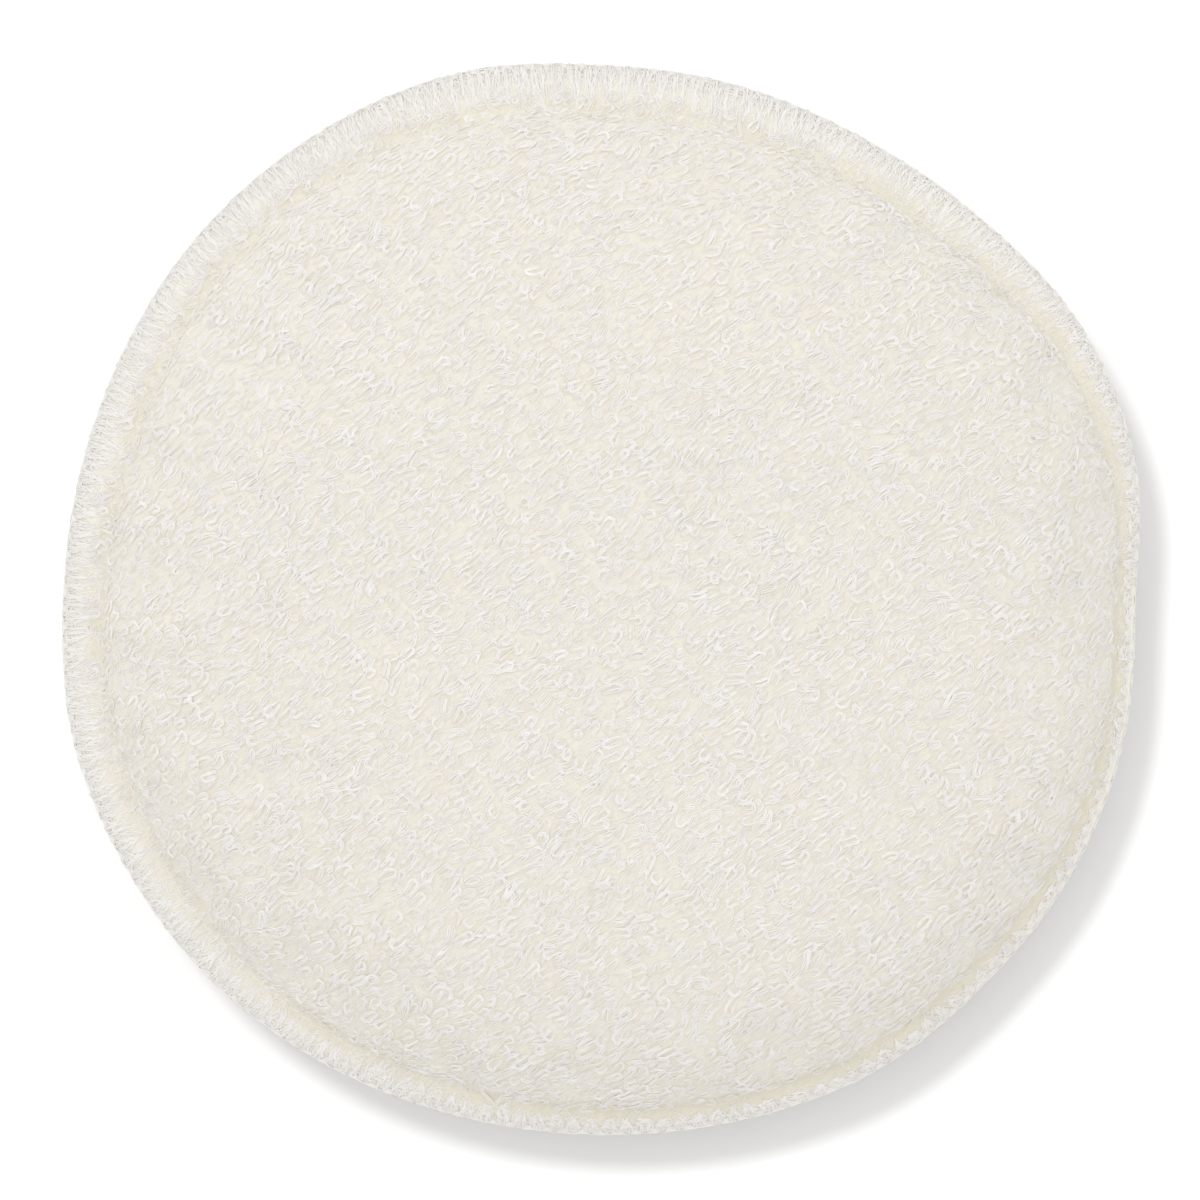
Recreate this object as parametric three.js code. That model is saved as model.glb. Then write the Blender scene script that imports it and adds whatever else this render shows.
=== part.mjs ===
// A round body sponge: a foam pad between two discs of looped terry cloth, closed all
// round by a three-thread overlocked seam that stands out as a flat flange.
// Millimetres, +Z up. The origin is under the middle of the pad, on what it lies on.

import * as THREE from 'three';

// Driving sizes
const cutRadius = 64.9;         // mean radius of the trimmed cloth edge
const crownHeight = 14;         // from the seam up to the tips of the pile, and down to the underside
const restingFlat = 0.5;        // how far the underside is pressed flat by lying on it
const coverThickness = 2.4;     // one cloth with its pile standing
const seamWidth = 3.5;          // mean width of the seam, from the pad's foot to the cut edge
const footThickness = 1.3;      // one cloth at the inner side of the seam
const edgeThickness = 0.35;     // one cloth at the cut edge, squeezed by the stitches
const coreClearance = 0.3;      // between the foam and the cloth, all round
const threadRadius = 0.15;      // sewing thread
const threadClearance = 0.15;   // between a thread and what it lies on or crosses
const stitchLength = 2.2;       // from one stitch to the next along the cut edge

// The pad fills its cover to a full, steep shoulder on one side and a gentle one opposite
const fullShoulder = 4.4;
const gentleShoulder = 2.6;
const fullShoulderAngle = THREE.MathUtils.degToRad(-30);

// How far the hand-guided cut strays from a true circle, at even steps from +X towards +Y
const cutStray = [
  -0.6, 1.5, 1.5, -0.2, -1.1, -1.0, -0.7, 0.6, 0.6, 0.3, -0.3, -0.7,
  -0.5, 0.5, 0.4, 0.3, -0.2, -0.7, -0.7, -0.2, 0.6, 0.4, 0.6, 0.2,
];

// How far the seam's width strays from its mean, at even steps from +X towards +Y
const seamStray = [-0.9, 0.7, 0.9, 0.1, 0, 0.3, -0.2, -0.3];

// Counts that set how fine the solids are
const aroundSteps = 60;         // points round every cloth and foam ring
const outerRings = 8;           // from the crown to the pad's foot
const innerRings = 6;           // the same inside the cover
const needleSteps = 120;        // points round the needle thread
const threadSides = 3;

// The zigzag of a looper thread within one stitch, as shares of the stitch
const legOut = 0.27;
const legBack = 0.73;
const sharpestMitre = 3;        // how far a corner of the zigzag may be drawn out, in thread radii

// Places that follow from the sizes
const seamHeight = crownHeight;
const up = 1;
const down = -1;
const mitreReach = threadRadius * sharpestMitre;
const tipFromFoot = mitreReach + threadClearance;
const looperLift = threadClearance + threadRadius;
const needleLift = looperLift + 2 * threadRadius + threadClearance;

// A closed smooth curve through evenly spaced values, read by the share of a full turn
function strayCurve(values) {
  const stops = values.map((value) => new THREE.Vector3(value, 0, 0));
  const curve = new THREE.CatmullRomCurve3(stops, true, 'catmullrom', 0.5);
  return (turn) => curve.getPoint(((turn % 1) + 1) % 1).x;
}

const cutStrayAt = strayCurve(cutStray);
const seamStrayAt = strayCurve(seamStray);

function seamWidthAt(turn) {
  return seamWidth + seamStrayAt(turn);
}

function shoulderAt(turn) {
  const lean = Math.cos(2 * Math.PI * turn - fullShoulderAngle);
  return (fullShoulder + gentleShoulder) / 2 + ((fullShoulder - gentleShoulder) / 2) * lean;
}

// A point at a share of a full turn, a distance inside the cut edge, at a height over the seam
function rimPoint(turn, inset, height) {
  const angle = 2 * Math.PI * turn;
  const radius = cutRadius + cutStrayAt(turn) - inset;
  return new THREE.Vector3(radius * Math.cos(angle), radius * Math.sin(angle), seamHeight + height);
}

// Top of one cloth over the seam plane, between the cut edge and the pad's foot
function flangeTop(turn, inset) {
  const share = inset / seamWidthAt(turn);
  return edgeThickness + (footThickness - edgeThickness) * share;
}

// One ring of points round the pad, from a function of the turn
function ringOf(pointAt) {
  return Array.from({ length: aroundSteps }, (_, step) => pointAt(step / aroundSteps));
}

// A ring on a crowned dome: tilt is 0 at the crown and a right angle at the foot.
// The dome's foot lies inset from the pad's foot, at footHeight over the seam.
function domeRing(tilt, inset, footHeight, rise, side) {
  return ringOf((turn) => {
    const share = Math.sin(tilt) ** (2 / shoulderAt(turn));
    const point = rimPoint(turn, seamWidthAt(turn) + inset, side * (footHeight + rise * Math.cos(tilt)));
    return point.set(point.x * share, point.y * share, point.z);
  });
}

// Rings from just below the crown down to the foot
function domeRings(count, inset, footHeight, rise, side, firstTilt = 0) {
  const first = firstTilt > 0 ? 0 : 1;
  const rings = [];
  for (let step = first; step <= count; step += 1) {
    const tilt = THREE.MathUtils.lerp(firstTilt, Math.PI / 2, step / count);
    rings.push(domeRing(tilt, inset, footHeight, rise, side));
  }
  return rings;
}

function pole(height) {
  return [new THREE.Vector3(0, 0, seamHeight + height)];
}

// A closed skin over a stack of rings that starts and ends in a pole.
// Faces point outwards where the stack runs from the top down.
function skinOver(rings, side = up) {
  const positions = rings.flat().flatMap((point) => point.toArray());
  const starts = [];
  let count = 0;
  for (const ring of rings) {
    starts.push(count);
    count += ring.length;
  }
  const triangles = [];
  for (let row = 0; row + 1 < rings.length; row += 1) {
    const upper = rings[row].length;
    const lower = rings[row + 1].length;
    for (let step = 0; step < aroundSteps; step += 1) {
      const next = step + 1;
      const a = starts[row] + (step % upper);
      const b = starts[row] + (next % upper);
      const c = starts[row + 1] + (step % lower);
      const d = starts[row + 1] + (next % lower);
      if (lower > 1) triangles.push([a, c, d]);
      if (upper > 1) triangles.push([a, d, b]);
    }
  }
  const turned = side === up ? triangles : triangles.map(([a, b, c]) => [a, c, b]);
  return geometryOf(positions, turned.flat());
}

function geometryOf(positions, index) {
  const geometry = new THREE.BufferGeometry();
  geometry.setAttribute('position', new THREE.Float32BufferAttribute(positions, 3));
  geometry.setIndex(index);
  geometry.computeVertexNormals();
  return geometry;
}

// A closed thread along a path of { at, normal } stops, mitred at its corners
function threadAlong(stops) {
  const positions = [];
  const index = [];
  const count = stops.length;
  stops.forEach(({ at, normal }, step) => {
    const before = stops[(step + count - 1) % count].at;
    const after = stops[(step + 1) % count].at;
    const arriving = at.clone().sub(before).normalize();
    const leaving = after.clone().sub(at).normalize();
    const along = arriving.clone().add(leaving).normalize();
    const across = along.clone().cross(normal).normalize();
    const over = across.clone().cross(along);
    const mitre = Math.min(1 / along.dot(leaving), sharpestMitre);
    for (let side = 0; side < threadSides; side += 1) {
      const angle = Math.PI / 2 + (2 * Math.PI * side) / threadSides;
      const corner = at.clone();
      corner.addScaledVector(over, threadRadius * Math.sin(angle));
      corner.addScaledVector(across, threadRadius * mitre * Math.cos(angle));
      positions.push(...corner.toArray());
      const a = step * threadSides + side;
      const b = step * threadSides + ((side + 1) % threadSides);
      const c = ((step + 1) % count) * threadSides + side;
      const d = ((step + 1) % count) * threadSides + ((side + 1) % threadSides);
      index.push(a, c, b, b, c, d);
    }
  });
  return geometryOf(positions, index);
}

// One terry disc: crowned over the foam, with a flange in the seam and an open inside
function coverGeometry(side) {
  const rise = crownHeight - footThickness;
  const pressed = side === down ? restingFlat : 0;
  const flatTilt = Math.acos(rise / (rise + pressed));
  const outer = domeRings(outerRings, 0, footThickness, rise + pressed, side, flatTilt);
  const inner = domeRings(innerRings, coverThickness, 0, crownHeight - coverThickness, side);
  const edge = ringOf((turn) => rimPoint(turn, 0, side * edgeThickness));
  const parting = ringOf((turn) => rimPoint(turn, 0, 0));
  const rings = [
    pole(side * crownHeight),
    ...outer,
    edge,
    parting,
    ...inner.reverse(),
    pole(side * (crownHeight - coverThickness)),
  ];
  return skinOver(rings, side);
}

// The foam pad, rounded over by the covers that draw in to the seam
function coreGeometry() {
  const inset = coverThickness + coreClearance;
  const rise = crownHeight - inset;
  const upper = domeRings(innerRings, inset, 0, rise, up);
  const lower = domeRings(innerRings, inset, 0, rise, down);
  lower.pop();
  return skinOver([pole(rise), ...upper, ...lower.reverse(), pole(-rise)]);
}

// How many whole stitches go round the cut edge
function stitchCount() {
  const edge = ringOf((turn) => rimPoint(turn, 0, 0));
  const round = edge.reduce((sum, point, step) => sum + point.distanceTo(edge[(step + 1) % aroundSteps]), 0);
  return Math.round(round / stitchLength);
}

// A looper thread zigzags over one face of the seam, from the needle line to the cut edge
function looperGeometry(side) {
  const stitches = stitchCount();
  const stops = [];
  const addStop = (turn, inset, height) => {
    stops.push({
      at: rimPoint(turn, inset, side * height),
      normal: new THREE.Vector3(0, 0, side),
    });
  };
  for (let stitch = 0; stitch < stitches; stitch += 1) {
    const turn = stitch / stitches;
    const tip = seamWidthAt(turn) - tipFromFoot;
    addStop(turn, tip, flangeTop(turn, tip) + looperLift);
    for (const share of [legOut, legBack]) {
      addStop((stitch + share) / stitches, -looperLift, edgeThickness + looperLift);
    }
  }
  return threadAlong(stops);
}

// The needle thread runs round the pad's foot over the tips of the upper looper's zigzag
function needleGeometry() {
  const stops = [];
  for (let step = 0; step < needleSteps; step += 1) {
    const turn = step / needleSteps;
    const inset = seamWidthAt(turn) - tipFromFoot;
    stops.push({
      at: rimPoint(turn, inset, flangeTop(turn, inset) + needleLift),
      normal: new THREE.Vector3(0, 0, up),
    });
  }
  return threadAlong(stops);
}

function clothMaterial() {
  return new THREE.MeshStandardMaterial({ color: 0xece7da, roughness: 0.95, metalness: 0 });
}

function foamMaterial() {
  return new THREE.MeshStandardMaterial({ color: 0xf0e9cf, roughness: 0.9, metalness: 0 });
}

function threadMaterial() {
  return new THREE.MeshStandardMaterial({ color: 0xf3f0e6, roughness: 0.85, metalness: 0 });
}

function piece(name, geometry, material) {
  const mesh = new THREE.Mesh(geometry, material);
  mesh.name = name;
  return mesh;
}

const bodySponge = new THREE.Group();
bodySponge.add(
  piece('front_cover', coverGeometry(up), clothMaterial()),
  piece('back_cover', coverGeometry(down), clothMaterial()),
  piece('foam_core', coreGeometry(), foamMaterial()),
  piece('upper_looper_thread', looperGeometry(up), threadMaterial()),
  piece('lower_looper_thread', looperGeometry(down), threadMaterial()),
  piece('needle_thread', needleGeometry(), threadMaterial()),
);

export default bodySponge;
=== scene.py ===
"""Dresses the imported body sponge: two terry covers with their looped pile, the overlocked
seam, the foam inside and a plain studio. Metres, +Z up, the front cover on top."""

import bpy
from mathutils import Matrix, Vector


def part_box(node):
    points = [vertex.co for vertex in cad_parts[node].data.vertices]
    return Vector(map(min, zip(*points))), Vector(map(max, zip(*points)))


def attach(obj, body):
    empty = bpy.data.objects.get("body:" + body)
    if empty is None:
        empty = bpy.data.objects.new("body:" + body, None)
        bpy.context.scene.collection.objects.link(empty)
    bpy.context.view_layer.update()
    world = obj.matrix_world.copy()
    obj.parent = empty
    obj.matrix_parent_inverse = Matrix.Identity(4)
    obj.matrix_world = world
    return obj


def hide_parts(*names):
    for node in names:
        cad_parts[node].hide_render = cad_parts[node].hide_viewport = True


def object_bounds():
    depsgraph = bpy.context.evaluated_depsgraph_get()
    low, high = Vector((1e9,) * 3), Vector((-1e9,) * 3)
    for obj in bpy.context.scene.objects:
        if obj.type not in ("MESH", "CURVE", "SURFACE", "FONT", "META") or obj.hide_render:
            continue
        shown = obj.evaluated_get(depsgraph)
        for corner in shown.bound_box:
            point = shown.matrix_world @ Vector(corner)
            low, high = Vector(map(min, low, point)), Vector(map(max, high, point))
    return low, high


bl_info = {
    "name": "Body Sponge",
    "version": (1, 0, 0),
    "blender": (4, 5, 0),
    "location": "View3D > Sidebar > Sponge",
    "description": "Makes a round terry body sponge around its packed frame",
    "category": "Object",
}

import math

import bmesh
import bpy
import numpy as np
from bpy.props import FloatProperty, FloatVectorProperty, IntProperty, PointerProperty
from mathutils import Vector, noise
from mathutils.bvhtree import BVHTree

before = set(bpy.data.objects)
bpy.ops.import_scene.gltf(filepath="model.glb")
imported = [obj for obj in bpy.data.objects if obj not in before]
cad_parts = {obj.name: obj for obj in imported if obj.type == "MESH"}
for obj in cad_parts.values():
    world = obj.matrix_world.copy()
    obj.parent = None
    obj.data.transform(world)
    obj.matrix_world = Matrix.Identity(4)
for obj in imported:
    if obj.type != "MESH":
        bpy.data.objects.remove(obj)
cad_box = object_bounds()

MM = 0.001
TURN = 2 * math.pi
UP = 1
DOWN = -1
SIDES = {"front": UP, "back": DOWN}
# Too short a length to divide by
TINY = 1e-9

# The map that yarns and threads carry, on which every loop or stitch lies in the same place. It has a strip
# for each tint, with a margin on either side, as a share of the strip
YARN_MAP = "OFBake"
TINT_STRIPS = 32
STRIP_MARGIN = 0.06


class CoverSettings(bpy.types.PropertyGroup):
    """Sizes and colours of the ground cloth that the pile grows from."""

    dome_rings: IntProperty(
        name="Dome Rings", description="Rings of cloth from the crown to the pad's foot", default=26)
    flange_rings: IntProperty(
        name="Flange Rings", description="Rings of cloth from the pad's foot to the cut edge", default=5)
    columns: IntProperty(
        name="Columns", description="Columns of cloth round the pad", default=192)
    ground_depth: FloatProperty(
        name="Ground Depth", description="From the tips of the pile down to the ground cloth",
        default=0.6 * MM, unit="LENGTH")
    thickness: FloatProperty(
        name="Thickness", description="Thickness of the ground cloth", default=0.6 * MM, unit="LENGTH")
    pucker: FloatProperty(
        name="Pucker", description="Depth of the small gathers that the seam draws into the cloth",
        default=0.3 * MM, unit="LENGTH")
    groove_depth: FloatProperty(
        name="Groove Depth", description="How deep the needle thread draws the cloth in at the pad's foot",
        default=0.45 * MM, unit="LENGTH")
    rim_wave: FloatProperty(
        name="Rim Wave", description="How far the flange rises and falls", default=0.45 * MM, unit="LENGTH")
    edge_share: FloatProperty(
        name="Edge Share", description="Share of the cloth's thickness that is left at the cut edge",
        default=0.2, subtype="FACTOR")
    spare_edge: FloatProperty(
        name="Spare Edge", description="How far the cloth's edge is pressed out under the threads",
        default=0.4 * MM, unit="LENGTH")
    droop: FloatProperty(
        name="Droop", description="How far the flange hangs down at its edge on the pad's full side",
        default=0.8 * MM, unit="LENGTH")
    bulge: FloatProperty(
        name="Bulge",
        description="How far the pad's foot leans out over the seam on its full side, and in opposite",
        default=1.2 * MM, unit="LENGTH")
    pressure: FloatProperty(
        name="Pressure", description="How hard the foam pushes the cloth out", default=4.0)
    seed: IntProperty(
        name="Seed", description="Start of the gathers' random numbers", default=5)
    most_swell: FloatProperty(
        name="Most Swell", description="Furthest that the foam may push the cloth", default=0.9 * MM,
        unit="LENGTH")
    lowest: FloatProperty(
        name="Lowest", description="Height of the ground cloth over what the pad lies on", default=0.5 * MM,
        unit="LENGTH")
    ground_colour: FloatVectorProperty(
        name="Ground Colour", description="Colour of the knitted ground between the loops", size=3,
        subtype="COLOR", default=(0.915, 0.878, 0.787))
    flange_colour: FloatVectorProperty(
        name="Flange Colour", description="Colour of the ground under the seam's threads", size=3,
        subtype="COLOR", default=(0.955, 0.917, 0.835))
    # Painted shade: a darker tan for the ground down in the seam's groove, which the cloth's warm patches
    # also lean towards
    groove_shade_and_patch_colour: FloatVectorProperty(
        name="Groove Colour", description="Colour of the ground down in the seam's groove", size=3,
        subtype="COLOR", default=(0.85, 0.805, 0.675))


class PileSettings(bpy.types.PropertyGroup):
    """Sizes and colours of the looped pile."""

    slant: FloatProperty(
        name="Nap Slant", description="Direction that the loops of the front face lie over",
        default=math.radians(40), subtype="ANGLE")
    pitch: FloatProperty(
        name="Loop Pitch", description="From one loop to the next along a row",
        default=1.75 * MM, unit="LENGTH")
    row_gap: FloatProperty(
        name="Row Gap", description="From one row of loops to the next", default=1.6 * MM, unit="LENGTH")
    height: FloatProperty(
        name="Height", description="How far a loop stands over the ground cloth",
        default=0.22 * MM, unit="LENGTH")
    lean: FloatProperty(
        name="Lean", description="How far a loop's head lies over from its foot",
        default=2.4 * MM, unit="LENGTH")
    yarn_width: FloatProperty(
        name="Yarn Width", description="Width of the yarn, which has its plies side by side",
        default=0.48 * MM, unit="LENGTH")
    stray: FloatProperty(
        name="Ply Stray", description="How far single plies stray from the yarn",
        default=0.06 * MM, unit="LENGTH")
    turned_back: FloatProperty(
        name="Turned Back", description="Share of the loops that lie over against the nap", default=0.35,
        subtype="FACTOR")
    head: FloatProperty(
        name="Head Width", description="Width of a loop's round head, between the middles of its yarn",
        default=0.9 * MM, unit="LENGTH")
    neck: FloatProperty(
        name="Neck Width", description="Width between the two legs of a loop",
        default=0.65 * MM, unit="LENGTH")
    disorder: FloatProperty(
        name="Disorder", description="How far single loops turn away from the common lean",
        default=math.radians(6), subtype="ANGLE")
    seed: IntProperty(
        name="Seed", description="Start of the pile's random numbers", default=11)
    # Painted shade: the yarn is darker and warmer near the ground, down in the pile
    shaded_root_colour: FloatVectorProperty(
        name="Root Colour", description="Colour of the yarn near the ground", size=3,
        subtype="COLOR", default=(0.95, 0.925, 0.885))
    tip_colour: FloatVectorProperty(
        name="Tip Colour", description="Colour of the yarn at the head of a loop", size=3,
        subtype="COLOR", default=(0.99, 0.973, 0.967))


class SeamSettings(bpy.types.PropertyGroup):
    """Sizes and colours of the overlocked seam."""

    stitch: FloatProperty(
        name="Stitch Length", description="From one stitch to the next along the cut edge", default=2.2 * MM,
        unit="LENGTH")
    filament_width: FloatProperty(
        name="Filament Width", description="Width of each of the filaments that make a thread",
        default=0.12 * MM, unit="LENGTH")
    filaments: IntProperty(
        name="Filaments", description="Filaments that fan out from a thread towards the cut edge", default=12)
    cord_filaments: IntProperty(
        name="Cord Filaments", description="Filaments that lie along the cut edge on each face", default=13)
    loft: FloatProperty(
        name="Loft", description="How far the filaments stand over the cloth",
        default=0.16 * MM, unit="LENGTH")
    overhang: FloatProperty(
        name="Overhang", description="How far the filaments reach past the cut edge", default=0.5 * MM,
        unit="LENGTH")
    seed: IntProperty(
        name="Seed", description="Start of the seam's random numbers", default=23)
    thread_colour: FloatVectorProperty(
        name="Thread Colour", description="Colour of the sewing thread", size=3,
        subtype="COLOR", default=(0.98, 0.96, 0.93))
    # Painted shade: the thread is darker along the cut edge, where it rolls down over it
    edge_shade_colour: FloatVectorProperty(
        name="Edge Colour", description="Colour of the sewing thread where it is darkened along the cut edge",
        size=3, subtype="COLOR", default=(0.945, 0.925, 0.895))


class CoreSettings(bpy.types.PropertyGroup):
    """Sizes and colours of the foam inside."""

    rings: IntProperty(
        name="Rings", description="Rings of the foam from one pole to the other", default=40)
    columns: IntProperty(
        name="Columns", description="Columns round the foam", default=96)
    colour: FloatVectorProperty(
        name="Foam Colour", description="Colour of the foam", size=3, subtype="COLOR",
        default=(0.87, 0.81, 0.62))


class StageSettings(bpy.types.PropertyGroup):
    """The plain studio and the camera over the pad."""

    view_width: FloatProperty(
        name="View Width", description="Width of the picture at the seam",
        default=145.2 * MM, unit="LENGTH")
    view_distance: FloatProperty(
        name="View Distance", description="From the seam up to the camera", default=1.5, unit="LENGTH")
    key_level: FloatProperty(
        name="Key Level", description="Light that the key lamp adds to the floor, where the room gives 1",
        default=0.3)
    key_lean: FloatProperty(
        name="Key Lean", description="Angle of the key lamp from straight above", default=math.radians(25),
        subtype="ANGLE")
    key_turn: FloatProperty(
        name="Key Turn", description="Direction that the key lamp shines from, round the pad",
        default=math.radians(127), subtype="ANGLE")
    key_size: FloatProperty(
        name="Key Size", description="Angle that the key lamp fills, which softens its shadow",
        default=math.radians(10), subtype="ANGLE")
    soft_share: FloatProperty(
        name="Soft Share", description="Share of the room's light that comes from a wide lamp overhead",
        default=0.26, subtype="FACTOR")
    soft_lean: FloatProperty(
        name="Soft Lean", description="Angle of the wide lamp from straight above", default=math.radians(25),
        subtype="ANGLE")
    soft_turn: FloatProperty(
        name="Soft Turn", description="Direction that the wide lamp shines from, round the pad",
        default=math.radians(110), subtype="ANGLE")
    soft_size: FloatProperty(
        name="Soft Size", description="Angle that the wide lamp fills",
        default=math.radians(120), subtype="ANGLE")
    floor_colour: FloatVectorProperty(
        name="Floor Colour", description="Colour of the paper that the pad lies on", size=3, subtype="COLOR",
        default=(0.95, 0.95, 0.95))
    bounce_colour: FloatVectorProperty(
        name="Bounce Colour", description="Colour of the light that the paper throws back on the pad",
        size=3, subtype="COLOR", default=(0.55, 0.55, 0.55))


# Numbers to and from meshes

def mesh_points(mesh):
    """A mesh's corners as rows of x, y, z."""
    numbers = np.empty(len(mesh.vertices) * 3, dtype=np.float32)
    mesh.vertices.foreach_get("co", numbers)
    return numbers.reshape(-1, 3).astype(float)


def put_points(mesh, points):
    """Moves a mesh's corners to rows of x, y, z."""
    mesh.vertices.foreach_set("co", points.astype(np.float32).ravel())
    mesh.update()


def mesh_counts(mesh, name):
    """A whole number that a mesh keeps for each of its corners."""
    numbers = np.empty(len(mesh.vertices), dtype=np.int32)
    mesh.attributes[name].data.foreach_get("value", numbers)
    return numbers


def smooth_step(low, high, value):
    """0 up to a low value, 1 from a high one, and smooth between."""
    share = np.clip((value - low) / (high - low), 0, 1)
    return share * share * (3 - 2 * share)


def shown(name, mesh, material):
    """A mesh as a piece of the sponge that moves with it."""
    piece = bpy.data.objects.new(name, mesh)
    bpy.context.collection.objects.link(piece)
    mesh.materials.append(material)
    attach(piece, "root")
    return piece


# Spun corners this close are one, in the units of the line
SAME_PLACE = 0.001


def spun(line, columns):
    """A bmesh that is spun full round the upright axis from a line of points."""
    shape = bmesh.new()
    corners = [shape.verts.new(point) for point in line]
    for before, after in zip(corners, corners[1:]):
        shape.edges.new((before, after))
    bmesh.ops.spin(
        shape, geom=shape.verts[:] + shape.edges[:], axis=(0, 0, 1), cent=(0, 0, 0), dvec=(0, 0, 0),
        angle=TURN, steps=columns, use_merge=True)
    bmesh.ops.remove_doubles(shape, verts=shape.verts[:], dist=SAME_PLACE)
    return shape


def soften(shape, corners, rounds):
    """Smooths some corners of a bmesh a number of times."""
    for _ in range(rounds):
        bmesh.ops.smooth_vert(
            shape, verts=corners, factor=0.5, use_axis_x=True, use_axis_y=True, use_axis_z=True)


def mesh_of(name, shape):
    """A finished bmesh as a mesh with smooth shading."""
    for face in shape.faces:
        face.smooth = True
    mesh = bpy.data.meshes.new(name)
    shape.to_mesh(mesh)
    shape.free()
    return mesh


def subdivide(piece, name):
    """Rounds a piece off by one subdivision."""
    fine = piece.modifiers.new(name, "SUBSURF")
    fine.levels = 1
    fine.render_levels = 1


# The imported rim, which the covers and threads follow

class RoundCurve:
    """A smooth closed curve of radius by angle, through radii at even angles."""

    def __init__(self, radii):
        self.waves = np.fft.rfft(radii) / len(radii)
        self.waves[1:] *= 2
        self.orders = np.arange(len(self.waves))

    def __call__(self, angle):
        turned = np.exp(1j * np.multiply.outer(angle, self.orders))
        return (turned * self.waves).real.sum(axis=-1)


class Rim:
    """The seam as packed: its cut edge, the pad's foot and the heights of the cloth there."""

    # How far in the cut edge is rounded, and the flange's waves: how many round, share of the height, start
    EDGE_ROUND = 0.6 * MM
    WAVES = ((2, 0.5, 0.4), (3, 0.3, 2.1), (5, 0.45, 0.9), (8, 0.25, 4.0))
    # Direction of the pad's full side, and the share of its bulge that it has all round
    FULL_TURN = math.radians(-47)
    MEAN_BULGE = 0.12
    # The stitches draw the cloth in a little everywhere and most in a groove, which lies by the pad's foot.
    # Its place and width are shares of the way from there to the cut edge. On the full side it is shallower
    SEWN_SINK = 0.1 * MM
    GROOVE_MIDDLE = 0.08
    GROOVE_WIDTH = 0.26
    GROOVE_LOSS = 0.6

    def __init__(self, cover):
        points = np.unique(mesh_points(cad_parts["front_cover"].data).round(7), axis=0)
        heights = points[:, 2].round(6)
        self.seam, edge, foot = np.unique(heights)[:3]
        self.edge_rise = edge - self.seam
        self.foot_rise = foot - self.seam
        self.cut = self.ring(points[heights == edge])
        self.foot = self.ring(points[heights == foot])
        self.wave_height = cover.rim_wave
        self.bulge = cover.bulge
        self.droop = cover.droop
        self.groove_depth = cover.groove_depth
        self.spare_edge = cover.spare_edge
        self.flange_rings = cover.flange_rings

    @staticmethod
    def ring(points):
        """The curve through a ring of packed points."""
        order = np.argsort(np.arctan2(points[:, 1], points[:, 0]).round(5) % TURN)
        return RoundCurve(np.hypot(points[order, 0], points[order, 1]))

    def width(self, angle):
        """Width of the seam as packed."""
        return self.cut(angle) - self.foot(angle)

    @classmethod
    def fullness(cls, angle):
        """How full the pad is at an angle: 1 on its full side, -1 opposite."""
        return np.cos(angle - cls.FULL_TURN)

    @classmethod
    def full_side(cls, angle):
        """The same on the full half of the pad, and 0 on the other half."""
        return np.maximum(cls.fullness(angle), 0)

    def lean_out(self, angle):
        """How far the pad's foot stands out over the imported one."""
        return self.bulge * (self.MEAN_BULGE + self.fullness(angle))

    def free_width(self, angle):
        """Width of the seam that the pad leaves free."""
        return self.width(angle) - self.lean_out(angle)

    def wave(self, angle):
        """How far the flange rises or falls at an angle."""
        waves = [share * np.sin(order * angle + start) for order, share, start in self.WAVES]
        return self.wave_height * sum(waves)

    def top(self, angle, inset):
        """Top of one cloth over the seam, a distance inside the cut edge."""
        share = np.clip(inset / self.width(angle), 0, 1)
        rounded = np.sqrt(1 - (1 - np.clip(inset / self.EDGE_ROUND, 0, 1)) ** 2)
        return rounded * (self.edge_rise + (self.foot_rise - self.edge_rise) * share)

    def sink(self, angle, outward):
        """How far the stitches draw the cloth in, by the share of the way from the foot to the cut edge."""
        depth = self.groove_depth * (1 - self.GROOVE_LOSS * self.full_side(angle))
        from_groove = (outward - self.GROOVE_MIDDLE) / self.GROOVE_WIDTH
        return self.SEWN_SINK + depth * np.exp(-from_groove ** 2)

    def sewn_top(self, angle, inset):
        """Top of the cloth over the seam where the stitches have drawn it in, down to nothing at its edge."""
        width = self.free_width(angle)
        last_ring = (width + self.spare_edge) / self.flange_rings - self.spare_edge
        inner = np.maximum(inset, last_ring)
        outward = 1 - np.clip(inner / width, 0, 1)
        slope = np.clip((inset + self.spare_edge) / (last_ring + self.spare_edge), 0, 1)
        return (self.top(angle, inner) - self.sink(angle, outward)) * slope

    def place(self, angle, inset, rise):
        """Points a distance inside the cut edge, at a height over the seam."""
        radius = self.cut(angle) - inset
        hang = self.droop * self.full_side(angle)
        outward = 1 - np.clip(inset / self.free_width(angle), 0, 1)
        height = self.seam + self.wave(angle) + rise - hang * outward
        return np.stack([radius * np.cos(angle), radius * np.sin(angle), height], axis=-1)

    def around(self, steps=720):
        """Length of the cut edge."""
        angle = TURN * np.arange(steps + 1) / steps
        edge = self.place(angle, 0, 0)
        return np.linalg.norm(np.diff(edge, axis=0), axis=1).sum()


def cad_surface(node):
    """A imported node's surface, for finding where a line meets it."""
    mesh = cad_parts[node].data
    corners = [corner.co for corner in mesh.vertices]
    faces = [tuple(face.vertices) for face in mesh.polygons]
    return BVHTree.FromPolygons(corners, faces)


def outer_point(surface, middle, way):
    """Where a line from outside, aimed at a middle point, first meets a surface."""
    outside = middle + way.normalized()
    hit, _, _, _ = surface.ray_cast(outside, -way)
    if hit is None:
        raise RuntimeError("a line towards the middle of the pad misses its packed solid")
    return hit


# Ground cloth of the covers

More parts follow.
